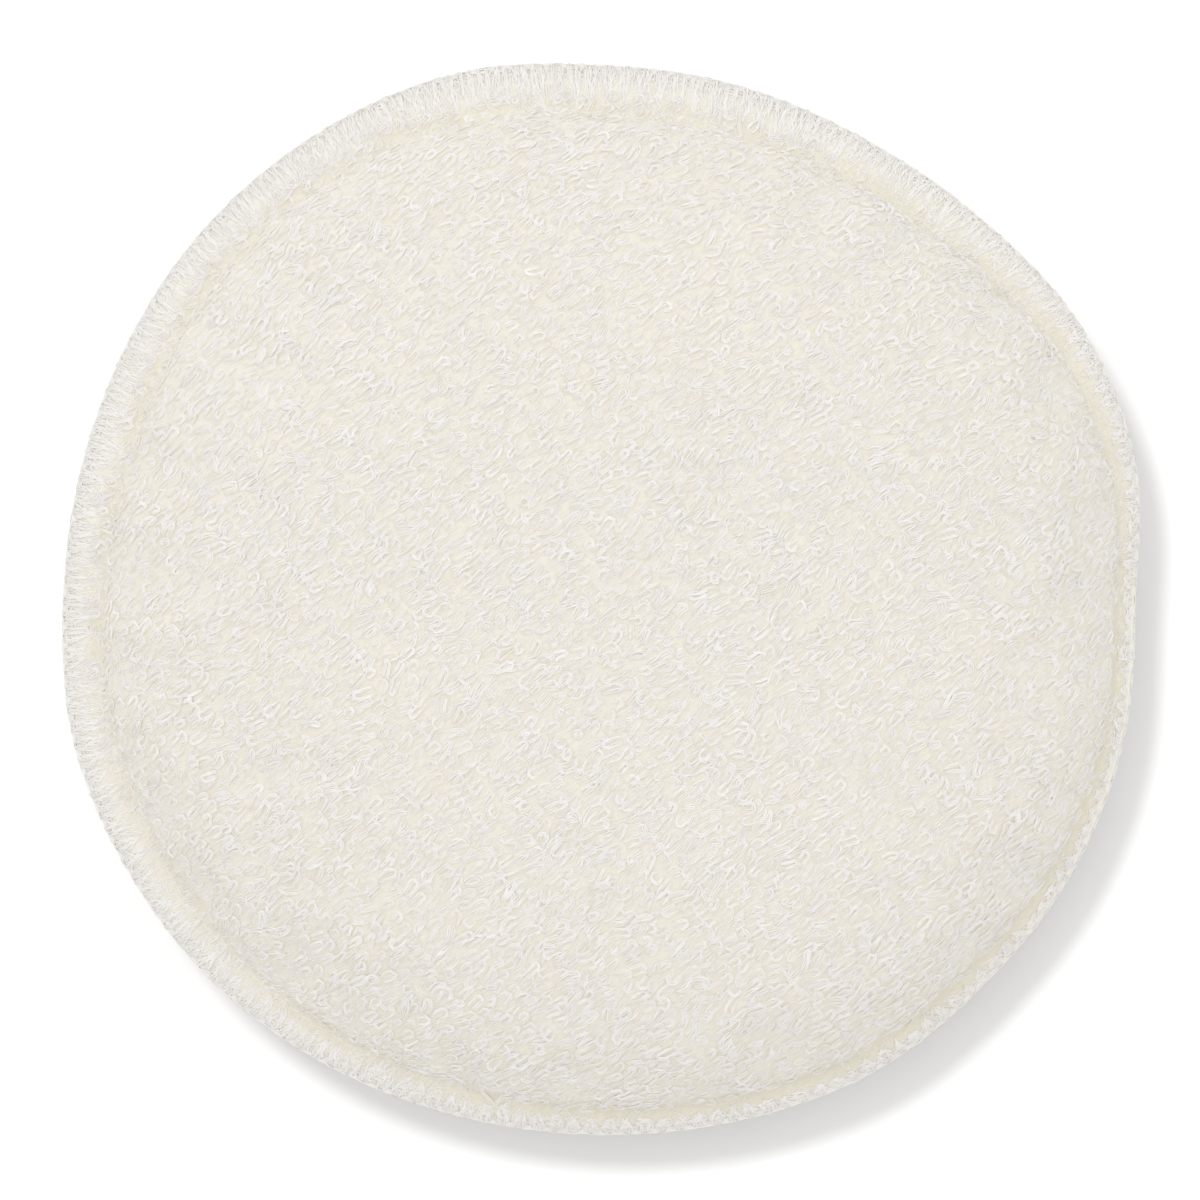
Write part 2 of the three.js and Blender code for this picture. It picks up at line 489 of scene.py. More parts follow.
def spun_sheet(rings, columns):
    """A flat round sheet with its rings one unit apart, spun from one spoke."""
    sheet = spun([(ring, 0, 0) for ring in range(rings + 1)], columns)
    bmesh.ops.recalc_face_normals(sheet, faces=sheet.faces[:])
    sheet.normal_update()
    sheet.faces.ensure_lookup_table()
    if sheet.faces[0].normal.z < 0:
        bmesh.ops.reverse_faces(sheet, faces=sheet.faces[:])
    ring_count = sheet.verts.layers.int.new("ring")
    column_count = sheet.verts.layers.int.new("column")
    for corner in sheet.verts:
        turn = math.atan2(corner.co.y, corner.co.x) / TURN
        corner[ring_count] = round(corner.co.xy.length)
        corner[column_count] = round(turn * columns) % columns
    return sheet


def dome_point(surface, rim, side, tilt, angle):
    """A point on the outside of a packed cover: tilt is 0 at the crown, a right angle at the foot."""
    middle = Vector((0, 0, rim.seam + side * rim.foot_rise))
    reach = float(rim.foot(angle)) * math.sin(tilt)
    crown = abs(cad_box[1].z - middle.z)
    way = Vector((reach * math.cos(angle), reach * math.sin(angle), side * crown * math.cos(tilt)))
    return outer_point(surface, middle, way)


# Share of the way down the dome where the pad starts to lean out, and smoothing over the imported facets
LEAN_FROM = 0.5
DOME_SMOOTHING = 8


def lay_on_cover(sheet, surface, cover, rim, side):
    """Puts the flat sheet on the outside of a packed cover and along its flange."""
    ring_count = sheet.verts.layers.int["ring"]
    column_count = sheet.verts.layers.int["column"]
    dome = []
    for corner in sheet.verts:
        ring = corner[ring_count]
        angle = TURN * corner[column_count] / cover.columns
        if ring < cover.dome_rings:
            share = ring / cover.dome_rings
            corner.co = dome_point(surface, rim, side, math.pi / 2 * share, angle)
            stretch = 1 + float(rim.lean_out(angle) / rim.foot(angle) * smooth_step(LEAN_FROM, 1.0, share))
            corner.co.x *= stretch
            corner.co.y *= stretch
            dome.append(corner)
        else:
            outward = (ring - cover.dome_rings) / cover.flange_rings
            inset = float(rim.free_width(angle)) * (1 - outward) - cover.spare_edge * outward
            corner.co = rim.place(angle, inset, side * float(rim.top(angle, inset)))
    soften(sheet, dome, DOME_SMOOTHING)
    sheet.normal_update()


# Gathers of the cloth: how many round the pad, least and most, and how many sets of them are added up
GATHER_COUNTS = (16, 44)
GATHER_SETS = 7

# Stretches of the way from the pad's foot to its crown: where the pile grows to its full depth, and where
# the gathers rise and fade
PILE_GROWS = (-0.05, 0.25)
GATHERS_RISE = (0, 0.12)
GATHERS_FADE = (0.12, 0.6)


def gathers(angle, rng):
    """Heights of small gathers at angles round the pad, as the seam draws the cloth in."""
    counts = rng.integers(*GATHER_COUNTS, size=GATHER_SETS)
    starts = rng.uniform(0, TURN, size=GATHER_SETS)
    waves = np.sin(np.multiply.outer(angle, counts) + starts)
    return 2 * waves.mean(axis=-1)


def sink_to_ground(sheet, cover, rim, seed):
    """Sinks the sheet from the tips of the pile to the ground cloth, with the seam's gathers in it."""
    ring_count = sheet.verts.layers.int["ring"]
    column_count = sheet.verts.layers.int["column"]
    angles = TURN * np.arange(cover.columns) / cover.columns
    heights = gathers(angles, np.random.default_rng(seed))
    moves = []
    for corner in sheet.verts:
        rings_out = corner[ring_count] - cover.dome_rings
        column = corner[column_count]
        way_up = -rings_out / cover.dome_rings
        pile_depth = cover.ground_depth * smooth_step(*PILE_GROWS, way_up)
        sunk = rim.sink(angles[column], rings_out / cover.flange_rings)
        gathered = smooth_step(*GATHERS_RISE, way_up) * (1 - smooth_step(*GATHERS_FADE, way_up))
        drawn = cover.pucker * gathered * heights[column]
        moves.append(corner.normal * float(drawn - pile_depth - sunk))
    for corner, move in zip(sheet.verts, moves):
        corner.co += move


# Where the painted shade of the groove and the flange's tone change past the pad's foot, in shares of the
# dome's rings. The flange's tone comes further out on the full side, so the painted shade reaches further out
# there
GROOVE_SHADE = (-0.09, -0.01)
FLANGE_TONE = (0.05, 0.1)
FLANGE_TONE_LATER = 0.1
# Share of the groove's painted shade that the flange covers, and share of it on the gentle side; it is full
# on the shaded full side
GROOVE_SHADE_COVERED = 0.9
GROOVE_SHADE_GENTLE = 0.6


def groove_shade_and_flange_tone(mesh, cover, rim):
    """How far each corner of the cloth has the painted shade of the seam's groove and the tone of its flange.
    """
    past_foot = (mesh_counts(mesh, "ring") - cover.dome_rings) / cover.dome_rings
    full = rim.full_side(TURN * mesh_counts(mesh, "column") / cover.columns)
    starts, ends = FLANGE_TONE
    flange = smooth_step(starts, ends + FLANGE_TONE_LATER * full, past_foot)
    # Painted shade in the groove, strongest on the pad's full side
    groove = smooth_step(*GROOVE_SHADE, past_foot) * (1 - GROOVE_SHADE_COVERED * flange)
    groove *= GROOVE_SHADE_GENTLE + (1 - GROOVE_SHADE_GENTLE) * full
    return {"groove": groove, "flange": flange}


def cover_skin(cover, rim, name, side, material):
    """The ground cloth of one cover, before the foam fills it."""
    sheet = spun_sheet(cover.dome_rings + cover.flange_rings, cover.columns)
    if side == DOWN:
        bmesh.ops.reverse_faces(sheet, faces=sheet.faces[:])
    lay_on_cover(sheet, cad_surface(f"{name}_cover"), cover, rim, side)
    sink_to_ground(sheet, cover, rim, seed=cover.seed + side)
    mesh = mesh_of(f"{name}_ground_cloth", sheet)
    # The groove's painted shade and the flange's tone, kept on the cloth for its material
    for tone, weights in groove_shade_and_flange_tone(mesh, cover, rim).items():
        mesh.attributes.new(tone, "FLOAT", "POINT").data.foreach_set("value", weights.astype(np.float32))
    return shown(f"{name}_ground_cloth", mesh, material)


# Stretch of the way from the crown to the pad's foot over which the cloth is loosely gathered
GATHERED = (0.45, 0.95)


def fill_with_foam(skin, cover):
    """Puts a skin under the foam's pressure, held all along its seam."""
    rings = mesh_counts(skin.data, "ring")
    held = skin.vertex_groups.new(name="seam")
    held.add(np.flatnonzero(rings >= cover.dome_rings).tolist(), 1.0, "REPLACE")
    loose = skin.vertex_groups.new(name="gathered")
    for ring in range(cover.dome_rings):
        weight = float(smooth_step(*GATHERED, ring / cover.dome_rings))
        loose.add(np.flatnonzero(rings == ring).tolist(), weight, "REPLACE")
    cloth = skin.modifiers.new("Foam Pressure", "CLOTH").settings
    cloth.quality = 6
    cloth.mass = 0.2
    cloth.tension_stiffness = 20
    cloth.compression_stiffness = 20
    cloth.shear_stiffness = 6
    cloth.bending_stiffness = 0.4
    cloth.vertex_group_mass = held.name
    cloth.pin_stiffness = 1.0
    cloth.vertex_group_shrink = loose.name
    cloth.shrink_min = 0.0
    cloth.shrink_max = -0.02
    cloth.use_pressure = True
    cloth.uniform_pressure_force = cover.pressure
    cloth.effector_weights.gravity = 0


def settle(skins, cover, frames=20):
    """Lets the foam push the skins out, caps how far they swell and keeps the result."""
    scene = bpy.context.scene
    for number in range(1, frames + 1):
        scene.frame_set(number)
    graph = bpy.context.evaluated_depsgraph_get()
    for skin in skins:
        start = mesh_points(skin.data)
        pushed = mesh_points(skin.evaluated_get(graph).data)
        move = pushed - start
        far = np.linalg.norm(move, axis=1, keepdims=True)
        kept = move * np.minimum(1, cover.most_swell / np.maximum(far, TINY))
        skin.modifiers.clear()
        settled = start + kept
        settled[:, 2] = np.maximum(settled[:, 2], cover.lowest)
        put_points(skin.data, settled)
    scene.frame_set(1)


def finish_skin(skin, cover):
    """Gives a settled skin its thickness, less towards the cut edge, and one subdivision."""
    rings = mesh_counts(skin.data, "ring")
    last_ring = cover.dome_rings + cover.flange_rings
    thick = skin.vertex_groups.new(name="thick")
    for ring in range(last_ring):
        weight = min(1.0, (last_ring - ring) / cover.flange_rings)
        thick.add(np.flatnonzero(rings == ring).tolist(), weight, "REPLACE")
    wall = skin.modifiers.new("Cloth Thickness", "SOLIDIFY")
    wall.thickness = cover.thickness
    wall.offset = -1
    wall.vertex_group = thick.name
    wall.thickness_vertex_group = cover.edge_share
    subdivide(skin, "Fine Cloth")


# Yarns and threads as bundles of fine strands

# Cross-section of a strand, in shares of its half width: a low roof, open towards the cloth
SECTION = np.array([(-1.0, -0.2), (0.0, 0.5), (1.0, -0.2)])
SECTION_CORNERS = len(SECTION)
SECTION_SIDES = SECTION_CORNERS - 1


def strand_ways(path, outward, closed):
    """Directions beside and over a strand all along its path, for the cloth's outward directions there."""
    if closed:
        along = np.roll(path, -1, axis=0) - np.roll(path, 1, axis=0)
    else:
        along = np.gradient(path, axis=0)
    along /= np.linalg.norm(along, axis=1, keepdims=True)
    beside = np.cross(along, outward)
    beside /= np.maximum(np.linalg.norm(beside, axis=1, keepdims=True), TINY)
    return beside, np.cross(beside, along)


def strand_faces(count, closed):
    """Four corners of each face along one strand, as numbers of its section corners."""
    here = np.arange(count if closed else count - 1)[:, None] * SECTION_CORNERS
    after = (here + SECTION_CORNERS) % (count * SECTION_CORNERS)
    side = np.arange(SECTION_SIDES)
    return np.stack([here + side, here + side + 1, after + side + 1, after + side], axis=-1)


def strand_map(count, stops, tints, closed):
    """Places on the map for the corners of the same faces. Every loop or stitch lies in the same place, in
    the strip of its own tint: along the map from root to root, across a strip the way round the strand."""
    step = np.arange(count if closed else count - 1)
    stop = step % stops
    between = stop == stops - 1
    here = np.where(between, 0, (stop + 0.5) / stops)
    after = np.where(between, 0.5 / stops, (stop + 1.5) / stops)
    along = np.stack([here, here, after, after], axis=1)[:, None, :].repeat(SECTION_SIDES, axis=1)
    side = np.arange(SECTION_SIDES)
    round_it = np.stack([side, side + 1, side + 1, side], axis=1) / SECTION_SIDES
    across = STRIP_MARGIN + (1 - 2 * STRIP_MARGIN) * round_it
    strip = (tints[step // stops][:, None, None] + across) / TINT_STRIPS
    return np.stack([along, strip], axis=-1)


def strand_mesh(name, strands, half_width, stops, closed):
    """One mesh of many strands. A strand is its path, the cloth's outward directions along it and the
    tints of its loops or stitches, which have the same number of stops each."""
    corners = []
    faces = []
    places = []
    first = 0
    for path, outward, tints in strands:
        beside, over = strand_ways(path, outward, closed)
        section = beside[:, None] * SECTION[:, :1] + over[:, None] * SECTION[:, 1:]
        corners.append((path[:, None] + half_width * section).reshape(-1, 3))
        faces.append(strand_faces(len(path), closed).reshape(-1, 4) + first)
        places.append(strand_map(len(path), stops, tints, closed).reshape(-1, 2))
        first += len(path) * SECTION_CORNERS
    corners = np.concatenate(corners)
    faces = np.concatenate(faces)
    mesh = bpy.data.meshes.new(name)
    mesh.vertices.add(len(corners))
    mesh.loops.add(faces.size)
    mesh.polygons.add(len(faces))
    mesh.loops.foreach_set("vertex_index", faces.ravel().astype(np.int32))
    mesh.polygons.foreach_set("loop_start", np.arange(0, faces.size, 4, dtype=np.int32))
    put_points(mesh, corners)
    mesh.update(calc_edges=True)
    mesh.shade_flat()
    mapped = mesh.uv_layers.new(name=YARN_MAP)
    mapped.data.foreach_set("uv", np.concatenate(places).astype(np.float32).ravel())
    mesh.validate()
    return mesh


# The pile

class FlatCloth:
    """A settled skin laid out flat, to find where a point of the flat cloth lies on the pad."""

    def __init__(self, skin, cover):
        mesh = skin.data
        rings = mesh_counts(mesh, "ring")
        columns = mesh_counts(mesh, "column")
        normals = np.empty(len(mesh.vertices) * 3, dtype=np.float32)
        mesh.vertex_normals.foreach_get("vector", normals)
        grid = np.zeros((rings.max() + 1, cover.columns), dtype=int)
        grid[rings, columns] = np.arange(len(rings))
        grid[0] = np.flatnonzero(rings == 0)[0]
        self.points = mesh_points(mesh)[grid]
        self.normals = normals.reshape(-1, 3).astype(float)[grid]
        self.columns = cover.columns
        steps = np.linalg.norm(np.diff(self.points, axis=0), axis=2)
        self.reach = np.vstack([np.zeros(cover.columns), np.cumsum(steps, axis=0)])

    def edge(self, angle, ring):
        """Distance from the middle of the flat cloth to one of its rings."""
        place = angle / TURN * self.columns
        reach = np.append(self.reach[ring], self.reach[ring, 0])
        return np.interp(place, np.arange(self.columns + 1), reach)

    def lay(self, flat):
        """Points, normals and ring numbers on the pad for rows of flat x, y."""
        angle = np.arctan2(flat[:, 1], flat[:, 0]) % TURN
        far = np.hypot(flat[:, 0], flat[:, 1])
        place = angle / TURN * self.columns
        left = np.floor(place).astype(int)
        share = place - left
        left %= self.columns
        right = (left + 1) % self.columns
        lengths = self.reach[:, left] * (1 - share) + self.reach[:, right] * share
        numbers = np.arange(len(self.reach))
        ring = np.array([np.interp(far[site], lengths[:, site], numbers) for site in range(len(far))])
        low = np.minimum(ring.astype(int), len(numbers) - 2)
        rise = (ring - low)[:, None]
        share = share[:, None]

        def blend(table):
            inner = table[low, left] * (1 - share) + table[low, right] * share
            outer = table[low + 1, left] * (1 - share) + table[low + 1, right] * share
            return inner * (1 - rise) + outer * rise

        normal = blend(self.normals)
        return blend(self.points), normal / np.linalg.norm(normal, axis=1, keepdims=True), ring


# Smooth noise seldom goes further than 0.6 from zero, which this brings to about 1
NOISE_GAIN = 1.6


def patchy(flat, size, layer):
    """Smooth random patches over the flat cloth, from about -1 to 1."""
    return np.array([noise.noise(Vector((x / size, y / size, layer))) for x, y in flat]) * NOISE_GAIN


# How the loops stray from even rows: slow drifts along a row and quicker wanders off it. Each has a size,
# a change from row to row, and how far it goes, in loop pitches or row gaps
DRIFT_SIZE = 30 * MM
DRIFT_PER_ROW = 0.07
DRIFT_LAYER = 3
DRIFT = 1.5
WANDER_SIZE = 9 * MM
WANDER_PER_ROW = 0.7
WANDER = 0.3
# How far single loops stray besides, in the same shares
STRAY_ALONG = 0.1
STRAY_OFF = 0.12
# How raggedly the pile ends at the seam, and how much sooner on the pad's full side
FRAY = 1.7 * MM
ENDS_SOONER = 1.2 * MM
FEWEST_LOOPS = 4


def along_row(places, row, size, per_row, layer):
    """A smooth random curve along one row, mostly between -0.6 and 0.6."""
    return np.array([noise.noise(Vector((place / size, row * per_row, layer))) for place in places])


def row_sites(cloth, pile, side, last_ring, rng):
    """Flat places of the loops, row by row, inside the last ring that has pile. Rows run across the nap."""
    row_way = side * pile.slant + side * math.pi / 2
    along = np.array([math.cos(row_way), math.sin(row_way)])
    across = np.array([-along[1], along[0]])
    reach = cloth.reach[last_ring].max()
    count = int(reach / pile.row_gap)
    loops = int(reach / pile.pitch) + 1
    rows = []
    for row in range(-count, count + 1):
        places = (np.arange(-loops, loops + 1) + 0.5 * (row % 2)) * pile.pitch
        drift = DRIFT * along_row(places, row, DRIFT_SIZE, DRIFT_PER_ROW, side + DRIFT_LAYER)
        places = places + (drift + rng.normal(0, STRAY_ALONG, len(places))) * pile.pitch
        wander = WANDER * along_row(places, row, WANDER_SIZE, WANDER_PER_ROW, side)
        strays = (row + wander + rng.normal(0, STRAY_OFF, len(places))) * pile.row_gap
        flat = places[:, None] * along + strays[:, None] * across
        angle = np.arctan2(flat[:, 1], flat[:, 0]) % TURN
        ragged = rng.uniform(0, FRAY, len(places)) + ENDS_SOONER * Rim.fullness(angle)
        inside = np.hypot(flat[:, 0], flat[:, 1]) < cloth.edge(angle, last_ring) - ragged
        if inside.sum() >= FEWEST_LOOPS:
            rows.append(flat[inside])
    return rows


# One loop from root to root: which leg, how far along to its head, how high, and share of its head's width
LOOP_LEG = np.array([-1, -1, -1, -0.92, -0.45, 0.45, 0.92, 1, 1, 1])
LOOP_OUT = np.array([0.0, 0.25, 0.6, 0.88, 1.0, 1.0, 0.88, 0.6, 0.25, 0.0])
LOOP_STAND = np.array([-0.8, 0.6, 0.9, 1.0, 0.9, 0.9, 1.0, 0.9, 0.6, -0.8])
LOOP_HEAD = np.array([0, 0.3, 0.75, 1, 1, 1, 1, 0.75, 0.3, 0])
LOOP_STOPS = len(LOOP_LEG)

# How single loops differ: least and most shares of the settings, and how far they vary about them
HEIGHT_SPREAD = (0.6, 1.3)
LEAN_SPREAD = (0.55, 1.25)
HEAD_SPREAD = (0.6, 1.35)
NECK_VARIES = 0.35
CURL_VARIES = 0.15
STOP_STRAY = 0.06 * MM
# Patches of loops that turn the same way, and patches that stand higher or lower
TURN_PATCH = 6 * MM
HEIGHT_PATCH = 5 * MM
HEIGHT_LAYER = 4
PATCH_HEIGHT = 0.2
# Shares of its height and lean that a loop loses where the cloth is drawn down to the seam
PRESSED_HEIGHT = 0.75
PRESSED_LEAN = 0.3
# Place along a loop that its curl swings about
CURL_MIDDLE = 0.4


def loop_shapes(flat, pile, pressed, side, rng):
    """Sideways, outward and upward places of the stops of every loop in a row."""
    count = len(flat)
    turn = rng.normal(0, pile.disorder, count) + pile.disorder * patchy(flat, TURN_PATCH, side)
    height = pile.height * rng.uniform(*HEIGHT_SPREAD, count)
    height *= 1 + PATCH_HEIGHT * patchy(flat, HEIGHT_PATCH, HEIGHT_LAYER + side)
    height *= 1 - PRESSED_HEIGHT * pressed
    lean = pile.lean * rng.uniform(*LEAN_SPREAD, count) * (1 - PRESSED_LEAN * pressed)
    lean *= np.where(rng.uniform(size=count) < pile.turned_back, -1, 1)
    neck = pile.neck * rng.normal(1, NECK_VARIES, count)
    head = pile.head * rng.uniform(*HEAD_SPREAD, count)
    curl = rng.normal(0, CURL_VARIES, count)
    width = neck[:, None] * (1 - LOOP_HEAD) + head[:, None] * LOOP_HEAD
    sideways = width / 2 * LOOP_LEG + (curl * lean)[:, None] * (LOOP_OUT ** 2 - CURL_MIDDLE)
    out = lean[:, None] * (LOOP_OUT - 0.5)
    sideways += rng.normal(0, STOP_STRAY, sideways.shape)
    out += rng.normal(0, STOP_STRAY, out.shape)
    up = height[:, None] * LOOP_STAND
    swing = np.cos(turn)[:, None]
    sway = np.sin(turn)[:, None]
    return sideways * swing - out * sway, sideways * sway + out * swing, up


# Rings of the flange that still have pile, rings of the dome over which loops are pressed down towards the
# seam, and how far the last of them are lifted clear of the groove
PILE_PAST_FOOT = 2
PRESSED_RINGS = 9
GROOVE_LIFT = 0.1 * MM


def loop_rows(cloth, cover, pile, side):
    """Paths of the yarns with their outward directions, one row of loops each."""
    rng = np.random.default_rng(pile.seed + side)
    foot_ring = cover.dome_rings
    rows = []
    for flat in row_sites(cloth, pile, side, foot_ring + PILE_PAST_FOOT, rng):
        points, normals, ring = cloth.lay(flat)
        along = np.gradient(points, axis=0)
        along -= normals * (along * normals).sum(axis=1, keepdims=True)
        along /= np.linalg.norm(along, axis=1, keepdims=True)
        lean_way = np.cross(along, normals)
        pressed = smooth_step(foot_ring - PRESSED_RINGS, foot_ring, ring)
        sideways, outwards, up = loop_shapes(flat, pile, pressed, side, rng)
        up += GROOVE_LIFT * smooth_step(foot_ring - 1, foot_ring, ring)[:, None]
        path = (
            points[:, None, :]
            + along[:, None, :] * sideways[:, :, None]
            + lean_way[:, None, :] * outwards[:, :, None]
            + normals[:, None, :] * up[:, :, None])
        path = path.reshape(-1, 3)
        path[:, 2] = np.maximum(path[:, 2], pile.yarn_width / 2)
        rows.append((path, np.repeat(normals, LOOP_STOPS, axis=0), len(flat)))
    return rows


def pile_bands(rows, bands):
    """Splits the rows into bands with about as many loops each."""
    totals = np.cumsum([count for _, _, count in rows])
    band_of = np.minimum((totals - 1) * bands // totals[-1], bands - 1)
    return [[row for row, number in zip(rows, band_of) if number == band] for band in range(bands)]


# How far the flat yarn of a loop rolls over, in radians, and how far its plies are spread, least and most
YARN_ROLL = 0.4
PLY_SPREAD = (0.85, 1.5)


def pile_band(name, rows, pile, plies, material, rng):
    """One band of the pile: every row is a yarn whose plies lie side by side."""
    half_width = pile.yarn_width / plies / 2
    strands = []
    for path, outward, count in rows:
        tints = rng.integers(0, TINT_STRIPS, count)
        beside, over = strand_ways(path, outward, closed=False)
        roll = np.repeat(rng.normal(0, YARN_ROLL, count), LOOP_STOPS)[:, None]
        spread = np.repeat(rng.uniform(*PLY_SPREAD, count), LOOP_STOPS)[:, None]
        for ply in range(plies):
            aside = half_width * (2 * ply + 1 - plies) * spread
            stray = rng.normal(0, pile.stray, (len(path), 1))
            moved = path + (aside * np.cos(roll) + stray) * beside + aside * np.sin(roll) * over
            strands.append((moved, outward, tints))
    mesh = strand_mesh(name, strands, half_width, LOOP_STOPS, closed=False)
    return shown(name, mesh, material)


# The overlocked seam

def stitch_angles(rim, seam, shares):
    """Angles of the given shares of every stitch, in order round the seam."""
    stitches = round(rim.around() / seam.stitch)
    return TURN * (np.arange(stitches)[:, None] + np.array(shares)[None, :]).ravel() / stitches, stitches


# One stitch of a looper: share of the stitch, share of the way in to the needle line, and how far
# the filaments are spread
LOOPER_SHARE = np.array([0.18, 0.21, 0.24, 0.25, 0.5, 0.75, 0.76, 0.79, 0.82])
LOOPER_IN = np.array([1.0, 0.5, 0.2, 0.0, 0.0, 0.0, 0.2, 0.5, 1.0])
LOOPER_FAN = np.array([0.3, 0.45, 0.6, 0.95, 0.0, -0.95, -0.6, -0.45, -0.3])
LOOPER_STRAY = np.array([0.16, 0.14, 0.1, 0.05, 0.05, 0.05, 0.1, 0.14, 0.16])
LOOPER_STOPS = len(LOOPER_SHARE)

# The needle line, from the pad's foot outwards, and how far a stitch's inner end strays from it
NEEDLE_LINE = 0.3 * MM
NEEDLE_LINE_STRAY = (-0.8 * MM, 0.4 * MM)
# How single stitches differ: how far the inner end shifts along, in stitches, and how wide they fan out
END_SHIFT = 0.22
FAN_SPREAD = (0.6, 1.2)
# Least and most share of the way to the needle line that a filament reaches, with less on the full side
FILAMENT_REACH = (0.4, 1.05)
REACH_LESS = 0.25
# Share of the way in from the cut edge over which a filament rolls round it
EDGE_ROLL = 0.2
# Least and most share of the loft, and the share that is lost towards the needle line
LOFT_SPREAD = (0.5, 1.3)
LOFT_LOST = 0.8


def looper_paths(rim, seam, side, rng):
    """Filaments of a looper thread, which fan out from the needle line and roll over the cut edge."""
    begin = 0 if side == UP else 0.5
    angle, stitches = stitch_angles(rim, seam, LOOPER_SHARE + begin)
    inward = np.tile(LOOPER_IN, stitches)
    fan = np.tile(LOOPER_FAN, stitches)
    stray = np.tile(LOOPER_STRAY, stitches)
    stitch_turn = TURN / stitches

    def each_stitch(values):
        return np.repeat(values, LOOPER_STOPS)

    shift = each_stitch(rng.uniform(-END_SHIFT, END_SHIFT, stitches))
    fan = fan * each_stitch(rng.uniform(*FAN_SPREAD, stitches))
    needle_line = rim.free_width(angle) - NEEDLE_LINE
    needle_line += each_stitch(rng.uniform(*NEEDLE_LINE_STRAY, stitches))
    over_edge = smooth_step(EDGE_ROLL, 0.0, inward)
    shortest, longest = FILAMENT_REACH
    shortest = shortest - REACH_LESS * rim.full_side(angle[::LOOPER_STOPS])
    paths = []
    for filament in range(seam.filaments):
        place = (filament + 0.5) / seam.filaments - 0.5
        share = 0.5 * place * fan + stray * rng.normal(size=len(angle)) + shift * inward
        turned = angle + share * stitch_turn
        drawn_in = needle_line * each_stitch(rng.uniform(shortest, longest))
        rolled = math.pi / 2 * (place + 0.5)
        inset = inward * drawn_in - over_edge * seam.overhang * math.cos(rolled)
        loft = seam.loft * rng.uniform(*LOFT_SPREAD, len(angle)) * (1 - LOFT_LOST * inward)
        rise = rim.sewn_top(turned, inset) + loft
        paths.append(rim.place(turned, inset, side * rise))
    return paths + edge_cord(rim, seam, side, angle, rng)


# The cord of filaments along the cut edge: share of the seam's free width that it covers, how far a filament
# strays at the cut edge and how much more further in, and how far it lies over the cloth
CORD_REACH = 0.2
CORD_STRAY = 0.05 * MM
CORD_STRAY_MORE = 0.2 * MM
CORD_LIFT = 0.05 * MM


def edge_cord(rim, seam, side, angle, rng):
    """Filaments that lie along the cut edge, where the two loopers lock into each other."""
    paths = []
    for filament in range(seam.cord_filaments):
        inward = filament / (seam.cord_filaments - 1)
        inset = inward * CORD_REACH * rim.free_width(angle) - (1 - inward) * seam.overhang
        inset = inset + rng.normal(0, CORD_STRAY + CORD_STRAY_MORE * inward, len(angle))
        rise = rim.sewn_top(angle, inset) + CORD_LIFT
        paths.append(rim.place(angle, inset, side * rise))
    return paths


# One stitch of the needle thread: share of the stitch, and how deep it lies
NEEDLE_SHARE = np.array([0.04, 0.2, 0.5, 0.8, 0.96])
NEEDLE_SUNK = np.array([0.5, 0.05, 0.0, 0.05, 0.5]) * MM
NEEDLE_STOPS = len(NEEDLE_SHARE)
NEEDLE_PLIES = 3
# How far it lies over the cloth, how much deeper on the full side, how far it strays, and its twist from
# stop to stop
NEEDLE_LIFT = 0.1 * MM
NEEDLE_DEEPER = 0.2 * MM
NEEDLE_STRAY = 0.05 * MM
NEEDLE_TWIST = 0.35 * TURN


def needle_paths(rim, seam, rng):
    """Plies of the needle thread: a row of straight stitches that dip into the cloth between them."""
    angle, stitches = stitch_angles(rim, seam, NEEDLE_SHARE)
    sunk = np.tile(NEEDLE_SUNK, stitches) + NEEDLE_DEEPER * rim.full_side(angle)
    inset = rim.free_width(angle) - NEEDLE_LINE + rng.normal(0, NEEDLE_STRAY, len(angle))
    twist = NEEDLE_TWIST * np.arange(len(angle))
    paths = []
    for ply in range(NEEDLE_PLIES):
        turn = twist + TURN * ply / NEEDLE_PLIES
        rise = rim.sewn_top(angle, inset) + NEEDLE_LIFT - sunk + seam.filament_width / 2 * np.sin(turn)
        paths.append(rim.place(angle, inset + seam.filament_width / 2 * np.cos(turn), rise))
    return paths


# How far a thread's upper side leans outwards, for one step up
THREAD_LEAN = 0.6


def thread_piece(name, paths, side, stops, seam, material, rng):
    """One sewing thread: all its filaments as strands."""
    strands = []
    for path in paths:
        outward = np.tile((0.0, 0.0, float(side)), (len(path), 1))
        outward[:, :2] = THREAD_LEAN * path[:, :2] / np.linalg.norm(path[:, :2], axis=1, keepdims=True)
        strands.append((path, outward, rng.integers(0, TINT_STRIPS, len(path) // stops)))
    mesh = strand_mesh(name, strands, seam.filament_width / 2, stops, closed=True)
    return shown(name, mesh, material)


# The foam

FOAM_SMOOTHING = 4


def foam_mesh(core):
    """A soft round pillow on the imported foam, spun from one meridian."""
    low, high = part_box("foam_core")
    middle = (low + high) / 2
    wide = (high.x - low.x) / 2
    tall = (high.z - low.z) / 2
    surface = cad_surface("foam_core")
    tilts = [math.pi * ring / core.rings for ring in range(core.rings + 1)]
    foam = spun([(math.sin(tilt), 0, math.cos(tilt)) for tilt in tilts], core.columns)
    for corner in foam.verts:
        way = Vector((corner.co.x * wide, corner.co.y * wide, corner.co.z * tall))
        corner.co = outer_point(surface, middle, way)
    soften(foam, foam.verts[:], FOAM_SMOOTHING)
    bmesh.ops.recalc_face_normals(foam, faces=foam.faces[:])
    return mesh_of("foam_pad", foam)


# Materials

